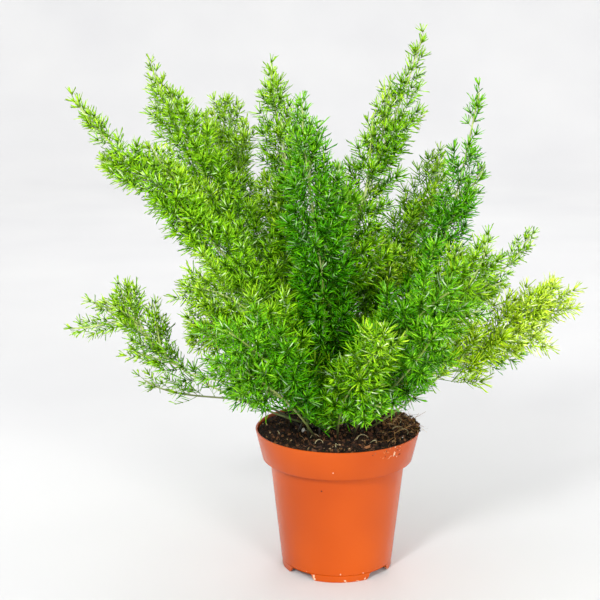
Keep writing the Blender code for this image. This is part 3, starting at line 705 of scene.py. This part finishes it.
# In degrees and mm: name, root (heading, radius), tip (heading, reach, height), leans at soil and tip, width,
# taper, gap between branchlets, needles' length and bare stem. Last come the raggedness and the look.
PLUMES = (
    ("centre", (195, 32), (213, 33, 375), (-28, -2), 60, 90, 1.6, 11.5, 12, 0.2, "deep"),
    ("tall_right", (150, 20), (31, 77, 424), (2, 17), 58, 140, 2, 11, 15, 0.4, "mid"),
    ("tall_left_centre", (120, 4), (126, 96, 399), (20, 10), 52, 80, 1.8, 11.5, 15, 0.25, "mid"),
    ("upper_left", (150, 32), (156, 168, 399), (6, 22), 56, 90, 1.7, 10.5, 15, 0.3, "light"),
    ("far_left", (165, 24), (189, 201, 378), (0, 34), 43, 110, 1.6, 10.5, 15, 0.3, "light"),
    ("right_upright", (15, 12), (12, 111, 382), (38, 11), 48, 140, 2, 10.5, 15, 0.25, "deep"),
    ("right_yellow", (330, 20), (3, 182, 216), (58, 76), 55, 35, 1.7, 12.5, 15, 0.2, "yellow"),
    ("left_yellow", (225, 32), (212, 134, 241), (0, 80), 60, 50, 2.1, 12, 12, 0.4, "light"),
    ("right_star", (300, 24), (306, 137, 248), (30, 60), 56, 50, 2.2, 13, 12, 0.4, "deep"),
    ("front_left_star", (240, 12), (238, 148, 222), (50, 60), 58, 50, 2.2, 13, 12, 0.4, "deep"),
    ("low_left_arch", (210, 8), (184, 169, 234), (67, 10), 40, 50, 3, 10.5, 110, 0.3, "mid"),
    ("right_spiky", (30, 28), (325, 130, 282), (-20, 10), 56, 70, 1.9, 14, 15, 0.3, "mid"),
    ("right_small", (180, 12), (19, 167, 264), (-14, 31), 34, 70, 1.8, 8.5, 15, 0.2, "mid"),
    ("rear_left_short", (135, 28), (130, 149, 364), (10, -10), 52, 35, 2, 11.5, 15, 0.3, "light"),
    ("right_light_tip", (120, 32), (46, 122, 324), (-16, 22), 46, 55, 1.7, 11, 15, 0.3, "mid"),
    ("front_right", (270, 28), (283, 142, 228), (30, 40), 44, 50, 2.2, 13, 12, 0.35, "mid"),
    ("low_right", (45, 8), (16, 157, 162), (32, 85), 30, 50, 2.2, 11.5, 80, 0.4, "deep"),
    ("low_left", (165, 32), (165, 171, 142), (50, 60), 28, 40, 3, 10.5, 40, 0.4, "mid"),
    ("right_low_star", (315, 16), (300, 139, 224), (40, 40), 56, 50, 2.2, 13, 12, 0.4, "deep"),
    ("low_left_star", (240, 32), (237, 129, 190), (40, 60), 54, 50, 2.2, 13, 12, 0.4, "deep"),
    ("front_low", (270, 4), (287, 112, 161), (40, 80), 52, 50, 2.2, 12, 12, 0.4, "deep"),
    ("back", (90, 24), (88, 140, 300), (0, 50), 50, 140, 2.9, 11, 15, 0.35, "mid"),
    ("back_left", (135, 16), (129, 163, 296), (14, 66), 52, 85, 3.2, 11, 15, 0.35, "mid"),
    ("back_right", (60, 28), (46, 172, 288), (-20, 66), 54, 85, 2.4, 11, 15, 0.35, "mid"),
    ("back_low_left", (225, 20), (142, 165, 213), (-10, 60), 48, 85, 2.2, 11.5, 20, 0.35, "mid"),
    ("back_low_right", (45, 28), (43, 191, 200), (10, 80), 48, 85, 2.2, 11.5, 20, 0.35, "mid"),
    ("back_low", (90, 32), (90, 154, 190), (10, 90), 48, 85, 2.2, 11.5, 20, 0.35, "mid"),
)
# Side shoots of some plumes: share along the plume's stem, tip (heading, reach, height) and width
SIDE_SHOOTS = {
    "low_left_arch": ((0.8, (183, 210, 195), 30), (0.84, (183, 190, 215), 40), (0.82, (186, 180, 219), 34),
        (0.78, (181, 166, 230), 36), (0.74, (184, 178, 209), 36), (0.74, (183, 164, 218), 36),
        (0.66, (184, 144, 215), 38), (0.66, (184, 145, 208), 30), (0.58, (187, 161, 179), 34),),
    "far_left": ((0.5, (184, 135, 327), 36), (0.56, (186, 145, 340), 30), (0.7, (186, 181, 329), 32),),
    "upper_left": ((0.5, (172, 136, 318), 36), (0.6, (141, 143, 354), 36), (0.68, (154, 155, 378), 24),),
    "rear_left_short": ((0.7, (130, 118, 348), 30), (0.72, (134, 152, 355), 30),),
    "tall_left_centre": ((0.62, (128, 76, 350), 30), (0.4, (141, 79, 310), 34),),
    "centre": ((0.58, (273, 12, 324), 36), (0.5, (36, 10, 301), 34), (0.74, (212, 26, 357), 26),),
    "right_upright": ((0.42, (9, 65, 226), 44), (0.6, (12, 116, 319), 26),),
    "right_light_tip": ((0.45, (22, 52, 238), 44), (0.5, (12, 70, 248), 44), (0.55, (37, 99, 294), 36),),
    "right_spiky": ((0.55, (326, 107, 266), 44),),
    "right_star": ((0.6, (325, 130, 227), 44),),
    "right_small": ((0.66, (15, 136, 224), 32),),
    "right_yellow": ((0.58, (353, 159, 195), 46), (0.7, (353, 167, 233), 30),),
    "left_yellow": ((0.6, (211, 129, 196), 44), (0.5, (209, 130, 216), 40),),
    "low_left_star": ((0.6, (225, 131, 190), 36), (0.5, (221, 128, 193), 40), (0.5, (209, 123, 172), 34),),
    "tall_right": ((0.66, (41, 53, 385), 28), (0.74, (33, 80, 355), 22), (0.58, (44, 37, 359), 28),
        (0.42, (49, 40, 303), 42), (0.3, (29, 42, 261), 44),),
}
DEEP_PLUMES = (
    "centre", "right_upright", "low_left_star", "front_low", "back_low_left", "back_low_right", "back_low",
)
YELLOW_PLUMES = ("right_yellow", "left_yellow", "right_spiky", "front_right")
# The foliage keeps this high above the soil and the lip: radii and heights in m, how much more it keeps above
# them towards the sides and the front, how ragged its lower edge is, and how large a lock of it is.
CLEAR_RADII = (0, 0.03, 0.062, 0.085, 0.12, 0.15)
CLEAR_HEIGHTS = (0.109, 0.117, 0.131, 0.132, 0.108, 0.098)
LEFT_LIFT = 0.29
LEFT_REACH = 0.08
RIGHT_LIFT = 0.36
RIGHT_REACH = 0.12
FRONT_LIFT = 0.3
FRONT_START = 0.06
EDGE_RAGGEDNESS = 0.014
EDGE_LOCK = 0.012

# One needle is modelled: a slim rod of four faces. One corner of a cone's foot is pulled up next to its tip,
# so that the needle keeps its width nearly to its end and is pointed there.
clear_selection()
bpy.ops.mesh.primitive_cone_add(vertices=3, radius1=0.5, radius2=0, depth=1)
needle = bpy.context.object
bpy.ops.object.mode_set(mode="EDIT")
bpy.ops.transform.translate(value=(0, 0, 0.5))
for axis, beyond, pull in (("y", 0.4, (0, -0.05, 0.84)), ("z", 0.9, (0, -0.45, 0))):
    bpy.ops.mesh.select_all(action="DESELECT")
    bpy.ops.object.mode_set(mode="OBJECT")
    for vert in needle.data.vertices:
        vert.select = getattr(vert.co, axis) > beyond
    bpy.ops.object.mode_set(mode="EDIT")
    bpy.ops.transform.translate(value=pull)
needle_shape = finished_shape()
branchlet_shape = tapered_rod(3, (0.5,), 0.1)


def polar(heading, radius, height):
    """A point from its heading in degrees, and its radius and height in mm."""
    turn = math.radians(heading)
    return Vector((radius / 1000 * math.cos(turn), radius / 1000 * math.sin(turn), height / 1000))


def leaning(heading, lean):
    """A direction that leans from upright towards a heading."""
    return Matrix.Rotation(math.radians(heading), 3, "Z") @ Vector(
        (math.sin(math.radians(lean)), 0, math.cos(math.radians(lean)))
    )


def drawn_stem(bends, radii):
    """A round tapered rod through (point, handle before, handle after) bends, as by the curve tool."""
    clear_selection()
    bpy.ops.curve.primitive_bezier_curve_add()
    line = bpy.context.object.data
    line.dimensions = "3D"
    line.bevel_depth = 1
    line.bevel_resolution = 1
    line.resolution_u = 20
    line.use_fill_caps = True
    points = line.splines[0].bezier_points
    points.add(len(bends) - 2)
    for point, bend, radius in zip(points, bends, radii):
        point.handle_left_type = point.handle_right_type = "FREE"
        point.co, point.handle_left, point.handle_right = bend
        point.radius = radius
    bpy.ops.object.convert(target="MESH")
    bpy.ops.object.transform_apply()
    bpy.ops.object.shade_smooth()
    return bpy.context.object


def curve_points(knots):
    """Four hundred points along a cubic curve."""
    a, b, c, d = (np.array(knot) for knot in knots)
    t = np.linspace(0, 1, 400)[:, None]
    return (1 - t) ** 3 * a + 3 * (1 - t) ** 2 * t * b + 3 * (1 - t) * t ** 2 * c + t ** 3 * d


def plume_stem(root, tip, leans):
    """A plume's own stem, and the points of its curve above the soil."""
    root_point = polar(*root, SOIL_LEVEL * 1000)
    start = root_point + Vector((0, 0, STEM_RISE))
    end = polar(*tip)
    run = end - start
    onward = math.degrees(math.atan2(run.y, run.x))
    handle = STEM_HANDLE * run.length
    out = start + handle * leaning(root[0], leans[0])
    back = end - handle * leaning(onward, leans[1])
    foot = root_point - Vector((0, 0, STEM_FOOT_DEPTH))
    top = end - 0.008 * leaning(onward, leans[1])
    bends = (
        (foot, foot, foot + Vector((0, 0, 0.004))),
        (start, start - Vector((0, 0, 0.002)), out),
        (top, back, top),
    )
    stem = drawn_stem(bends, (STEM_FOOT_RADIUS, STEM_FOOT_RADIUS, STEM_TIP_RADIUS))
    return stem, curve_points((start, out, back, end))


def side_stem(curve, share, tip):
    """A thinner stem that leaves a plume's stem at a share of it, curves over and ends at its tip."""
    at = int(share * (len(curve) - 1))
    start, onward = Vector(curve[at]), Vector(curve[at] - curve[at - 1]).normalized()
    end = polar(*tip)
    reach = (end - start).length
    out = start + 0.35 * reach * (onward + 0.6 * (end - start).normalized()).normalized()
    back = end - 0.35 * reach * ((end - start).normalized() + 0.25 * onward).normalized()
    stem = drawn_stem(((start, start, out), (end, back, end)), (SIDE_STEM_RADIUS, STEM_TIP_RADIUS))
    return stem, curve_points((start, out, back, end))


def above_rim(ends):
    """Which of the ends keep clear of the soil and the pot's lip, down to a ragged edge."""
    x, y, z = ends.T
    lift = LEFT_LIFT * np.clip(-x, 0, LEFT_REACH) + RIGHT_LIFT * np.clip(x, 0, RIGHT_REACH)
    lift += FRONT_LIFT * np.maximum(-y - FRONT_START, 0)
    edge = EDGE_RAGGEDNESS * np.array([noise.noise(Vector(end) / EDGE_LOCK) for end in ends])
    return z > np.interp(np.hypot(x, y), CLEAR_RADII, CLEAR_HEIGHTS) + lift + edge


def opened(axes, leans, turns):
    """Directions that lean away from the axes, turned round them."""
    axes, aside = square_to(axes, turns)
    return axes * np.cos(leans)[:, None] + aside * np.sin(leans)[:, None]


def branchlets_round(curve, bare, width, taper, gap, needle_length, ragged, rng):
    """The branchlets round a stem, from sizes in mm: starts, aims, pulls, lengths, ages, needles' lengths."""
    bare, width, taper, gap, needle_length = (mm / 1000 for mm in (bare, width, taper, gap, needle_length))
    runs = np.linalg.norm(np.diff(curve, axis=0), axis=1)
    along = np.concatenate([[0], np.cumsum(runs)])
    length = along[-1]
    tangents = np.gradient(curve, axis=0)
    at = np.arange(bare, length - TIP_GAP, gap)
    at += rng.uniform(-GAP_PLAY, GAP_PLAY, len(at)) * gap
    at = at[rng.uniform(size=len(at)) > TIP_THINNING * np.clip(1 - (length - at) / YOUNG_REACH, 0, 1)]
    at = np.append(at, length - LAST_BRANCHLET)
    starts = np.stack([np.interp(at, along, curve[:, i]) for i in range(3)], axis=1)
    axes = unit(np.stack([np.interp(at, along, tangents[:, i]) for i in range(3)], axis=1))
    from_tip = length - at
    grown = np.minimum(1, from_tip / taper)
    radius = PLUME_TIP_RADIUS + grown ** 2 * (3 - 2 * grown) * (width / 2 - PLUME_TIP_RADIUS)
    radius += PLUME_SPREAD * np.clip((from_tip - taper) / SPREAD_REACH, 0, 1)
    wave = np.interp(at, np.linspace(0, length, WAVE_KNOTS), rng.uniform(-1, 1, WAVE_KNOTS)) * WAVE_HEIGHT
    uneven = 1 + ragged * (rng.normal(0, UNEVENNESS, len(at)) + wave)
    reach = radius * np.clip(uneven, *REACH_LIMITS)
    young = np.clip(1 - from_tip / YOUNG_REACH, 0, 1)
    size = needle_length * (1 - YOUNG_SHORTENING * young ** 1.3)
    lean = np.radians(rng.normal(*BRANCHLET_LEAN, len(at)) - YOUNG_LEAN * young)
    twigs = np.maximum(SHORTEST_BRANCHLET, (reach - NEEDLE_OVERHANG * size) / np.sin(lean))
    turn = np.arange(len(at)) * GOLDEN_ANGLE + rng.normal(0, TURN_PLAY, len(at))
    aims = opened(axes, lean, turn)
    pulls = 0.5 * rng.uniform(*BRANCHLET_BEND, len(at))[:, None] * (axes - aims) + (0, 0, BRANCHLET_RISE)
    ends = starts + twigs[:, None] * (aims + pulls)
    lumps = np.array([noise.noise(Vector(end) / CLUMP_SIZE) for end in ends])
    clear = above_rim(ends) & ((lumps > CLUMP_RAGGEDNESS * ragged - CLUMP_LEVEL) | (from_tip < WHOLE_TIP))
    return [part[clear] for part in (starts, aims, pulls, twigs, young, size)]


def needles_on(branchlets, rng):
    """The needles in stars along the branchlets: their starts, aims, pulls, lengths and ages."""
    starts, aims, pulls, twigs, young, size = branchlets
    steps = np.maximum(1, ((1 - BARE_SHARE) * twigs / NEEDLE_STEP).astype(int))
    owner = np.repeat(np.arange(len(starts)), steps)
    order = np.arange(steps.sum()) - np.repeat(np.cumsum(steps) - steps, steps)
    share = (order + 0.7 + rng.uniform(-0.25, 0.25, len(owner))) / steps[owner]
    share = BARE_SHARE + (1 - BARE_SHARE) * np.clip(share, 0.04, 1)
    bent = share[:, None] * aims[owner] + share[:, None] ** 2 * pulls[owner]
    spots = starts[owner] + twigs[owner, None] * bent
    lines = aims[owner] + 2 * share[:, None] * pulls[owner]
    last = order == steps[owner] - 1
    end_counts = END_NEEDLES - np.round((END_NEEDLES - YOUNG_END_NEEDLES) * young[owner]).astype(int)
    counts = np.where(last, end_counts, STEP_NEEDLES)
    holder = np.repeat(np.arange(len(owner)), counts)
    place_round = np.arange(counts.sum()) - np.repeat(np.cumsum(counts) - counts, counts)
    spin = rng.uniform(0, math.tau, len(owner))[holder] + place_round * math.tau / counts[holder]
    freshness = young[owner][holder]
    end_lean = rng.uniform(END_LEAN[0], END_LEAN[1] - YOUNG_END_LEAN * freshness)
    lean = np.where(last[holder], end_lean, rng.normal(*NEEDLE_LEAN, len(holder)))
    aim = opened(lines[holder], np.radians(lean), spin + rng.normal(0, SPIN_PLAY, len(holder)))
    pull = rng.uniform(*NEEDLE_BEND, len(holder))[:, None] * (unit(lines[holder]) - aim)
    long = size[owner][holder] * rng.normal(1, NEEDLE_LENGTH_PLAY, len(holder))
    age = 0.55 * freshness + 0.3 * share[holder] ** 2 + rng.normal(0.12, 0.16, len(holder))
    needles = (spots[holder], aim, pull, np.clip(long, SHORTEST_NEEDLE, None), np.clip(age, 0, 1))
    kept = above_rim(needles[0] + needles[3][:, None] * (aim + pull))
    return [part[kept] for part in needles]


# Asparagus stem: pale yellow-green and smooth with a soft shine, and dull brown where it leaves the soil,
# darkened there further with painted shade from the foliage above. Its mottle is 8 mm wide.
stem_skin, tree, shader = new_material("pale_stem_skin")
place = node(tree, "ShaderNodeTexCoord").outputs["Object"]
mottle = node(tree, "ShaderNodeTexNoise", {"Scale": 120, "Detail": 3}, {"Vector": place})
greens = [(0.3, "a2ba4a"), (0.8, "ccd98c")]
pale = node(tree, "ShaderNodeValToRGB", {"stops": greens}, {0: mottle.outputs["Fac"]}).outputs[0]
height = node(tree, "ShaderNodeSeparateXYZ", {}, {0: place}).outputs["Z"]
# Below 0.15 m the stems darken towards the soil: partly a woody base, partly painted shade under the foliage.
woody_and_shaded_base = node(tree, "ShaderNodeMapRange", {1: 0.116, 2: 0.150, 3: 0, 4: 1}, {0: height}).outputs[0]
brown = {"data_type": "RGBA", 6: linear("241f10")}
colour = node(tree, "ShaderNodeMix", brown, {0: woody_and_shaded_base, 7: pale}).outputs[2]
dress(tree, shader, {"Roughness": 0.45}, {"Base Color": colour})
# Green branchlets, thinner and greener than the stems.
branchlet_skin, tree, shader = new_material("green_branchlet_skin")
young = node(tree, "ShaderNodeAttribute", {"attribute_name": "young"}).outputs["Fac"]
greens = [(0, "5f8f2a"), (1, "93b64c")]
colour = node(tree, "ShaderNodeValToRGB", {"stops": greens}, {0: young}).outputs[0]
dress(tree, shader, {"Roughness": 0.45}, {"Base Color": colour})


def needle_skin(name, old, grown, fresh, youngest):
    """Waxy green needle skin: old needles deep, fresh ones lighter, about one in twenty painted pale as a
    glint.
    """
    made, tree, shader = new_material(name)
    young = node(tree, "ShaderNodeAttribute", {"attribute_name": "young"}).outputs["Fac"]
    greens = [(0, old), (0.35, grown), (0.7, fresh), (1, youngest)]
    colour = node(tree, "ShaderNodeValToRGB", {"stops": greens}, {0: young}).outputs[0]
    shade = node(tree, "ShaderNodeAttribute", {"attribute_name": "shade"}).outputs["Fac"]
    value = node(tree, "ShaderNodeMapRange", {1: 0, 2: 1, 3: 0.5, 4: 1.4}, {0: shade})
    hue = node(tree, "ShaderNodeMapRange", {1: 0, 2: 1, 3: 0.512, 4: 0.488}, {0: shade})
    # Painted highlight: the needles with the highest shade values lose their colour and turn whitish,
    # standing in for glints.
    painted_glint = node(tree, "ShaderNodeMapRange", {1: 0.92, 2: 0.97, 3: 1, 4: 0.5}, {0: shade})
    varied = node(tree, "ShaderNodeHueSaturation", {}, {
        "Hue": hue.outputs[0], "Saturation": painted_glint.outputs[0], "Value": value.outputs[0], "Color": colour,
    })
    gloss = {"Roughness": 0.22, "IOR": 1.45, "Specular IOR Level": 0.2}
    dress(tree, shader, gloss, {"Base Color": varied.outputs[0]})
    return made


needle_skins = {
    "deep": needle_skin("waxy_needles_deep", "429c02", "57b204", "76c80e", "98da2c"),
    "mid": needle_skin("waxy_needles_mid", "64b406", "80c80a", "9cd818", "bae634"),
    "light": needle_skin("waxy_needles_light", "86d616", "96da16", "a6de20", "bce838"),
    "yellow": needle_skin("waxy_needles_yellow", "b4ec10", "c6f420", "d4fa36", "e6ff5a"),
}

for number, (name, root, tip, leans, width, taper, gap, size, bare, ragged, look) in enumerate(PLUMES):
    rng = np.random.default_rng(100 + number)
    stem, curve = plume_stem(root, tip, leans)
    stems, shoots = [stem], [(curve, bare, width, taper)]
    for share, side_tip, side_width in SIDE_SHOOTS.get(name, ()):
        side, side_curve = side_stem(curve, share, side_tip)
        stems.append(side)
        shoots.append((side_curve, SIDE_BARE, side_width, SIDE_TAPER))
    twigs, needles = [], []
    for shoot in shoots:
        branchlets = branchlets_round(*shoot, gap, size, ragged, rng)
        twigs.append(branchlets[:5])
        needles.append(needles_on(branchlets, rng))
    *rods, twig_ages = (np.concatenate(part) for part in zip(*twigs))
    widths = np.full(len(twig_ages), BRANCHLET_WIDTH)
    twig_points, twig_faces = bent_copies(branchlet_shape, *rods, widths, rng)
    *rods, ages = (np.concatenate(part) for part in zip(*needles))
    widths = NEEDLE_WIDTH * rng.uniform(*NEEDLE_WIDTH_SHARES, len(ages))
    needle_points, needle_faces = bent_copies(needle_shape, *rods, widths, rng)
    mesh = bpy.data.meshes.new("plume_" + name)
    mesh.from_pydata(
        np.concatenate([needle_points, twig_points]).tolist(), [],
        np.concatenate([needle_faces, twig_faces + len(needle_points)]).tolist(),
    )
    young = [ages.repeat(len(needle_shape[0])), twig_ages.repeat(len(branchlet_shape[0]))]
    young = np.concatenate(young).astype(np.float32)
    shades = rng.uniform(size=len(ages)).repeat(len(needle_shape[0]))
    shades = np.concatenate([shades, np.full(len(twig_points), 0.5)]).astype(np.float32)
    mesh.attributes.new("young", "FLOAT", "POINT").data.foreach_set("value", young)
    mesh.attributes.new("shade", "FLOAT", "POINT").data.foreach_set("value", shades)
    for skin in (needle_skins[look], branchlet_skin, stem_skin):
        mesh.materials.append(skin)
    layers = np.concatenate([np.zeros(len(needle_faces)), np.ones(len(twig_faces))]).astype(np.int32)
    mesh.polygons.foreach_set("material_index", layers)
    plume = added("fern_plume_" + name, mesh)
    for stem in stems:
        stem.data.materials.append(stem_skin)
    pick(*stems, plume)
    bpy.ops.object.join()
    bpy.ops.object.shade_smooth()
    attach(plume, "root")
    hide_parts("plume_" + name)
    tone = "deep" if name in DEEP_PLUMES else "yellow" if name in YELLOW_PLUMES else "mid"

# Floor, light and camera
# The studio: matt white board that sweeps up into a wall all round, and large soft lamps above it.
# The key light stands at the front left, so that the shadow falls softly to the right.
BOARD_RADIUS = 2.4
SWEEP_RADIUS = 1.3
SWEEP_START = 0.12
SWEEP_POINTS = 12
WALL_TOP = 2.8
LAMP_TARGET = (0, 0, 0.22)
CAMERA_DIP = 0.211
CAMERA_TURN = 1.70
sweep = [(0, 0), (BOARD_RADIUS, 0)]
for angle in np.linspace(SWEEP_START, math.pi / 2, SWEEP_POINTS):
    rise = SWEEP_RADIUS - SWEEP_RADIUS * math.cos(angle)
    sweep.append((BOARD_RADIUS + SWEEP_RADIUS * math.sin(angle), rise))
sweep.append((BOARD_RADIUS + SWEEP_RADIUS, WALL_TOP))
floor = spun(drawn_line("white_board", sweep), 64)
bpy.ops.object.shade_smooth()
# Painted board: matt, near white, with faint clouds a third of a metre wide.
white_board, tree, shader = new_material("matt_white_board")
place = node(tree, "ShaderNodeTexCoord").outputs["Object"]
paper = node(tree, "ShaderNodeTexNoise", {"Scale": 3, "Detail": 2}, {"Vector": place})
greys = [(0.3, "d2d2d3"), (0.7, "d8d8d8")]
colour = node(tree, "ShaderNodeValToRGB", {"stops": greys}, {0: paper.outputs["Fac"]}).outputs[0]
dress(tree, shader, {"Roughness": 0.9}, {"Base Color": colour})
floor.data.materials.append(white_board)

world = bpy.data.worlds.new("soft_room_light")
bpy.context.scene.world = world
world.use_nodes = True
world.node_tree.nodes["Background"].inputs["Color"].default_value = linear("ffffff")
world.node_tree.nodes["Background"].inputs["Strength"].default_value = 1.02
# Name, place, size in m and power in W
for name, spot, size, power in (
    ("key_lamp", (-1.2, -2.6, 2.1), 0.6, 62),
    ("fill_lamp", (1.5, -2.8, 1.1), 1.2, 52),
    ("back_lamp", (0.4, 2.4, 2.8), 1.6, 30),
):
    lamp = bpy.data.lights.new(name, "AREA")
    lamp.shape = "DISK"
    lamp.size = size
    lamp.energy = power
    holder = added(name, lamp)
    holder.location = spot
    holder.rotation_euler = (Vector(LAMP_TARGET) - Vector(spot)).to_track_quat("-Z", "Y").to_euler()
bpy.context.scene.view_settings.view_transform = "Standard"

camera = added("photo_camera", bpy.data.cameras.new("photo_camera"))
camera.data.sensor_width = 36
camera.data.lens = 78.96
camera.location = (0, -1.0, 0.43)
camera.rotation_euler = (math.pi / 2 - CAMERA_DIP, 0, math.radians(CAMERA_TURN))
bpy.context.scene.camera = camera
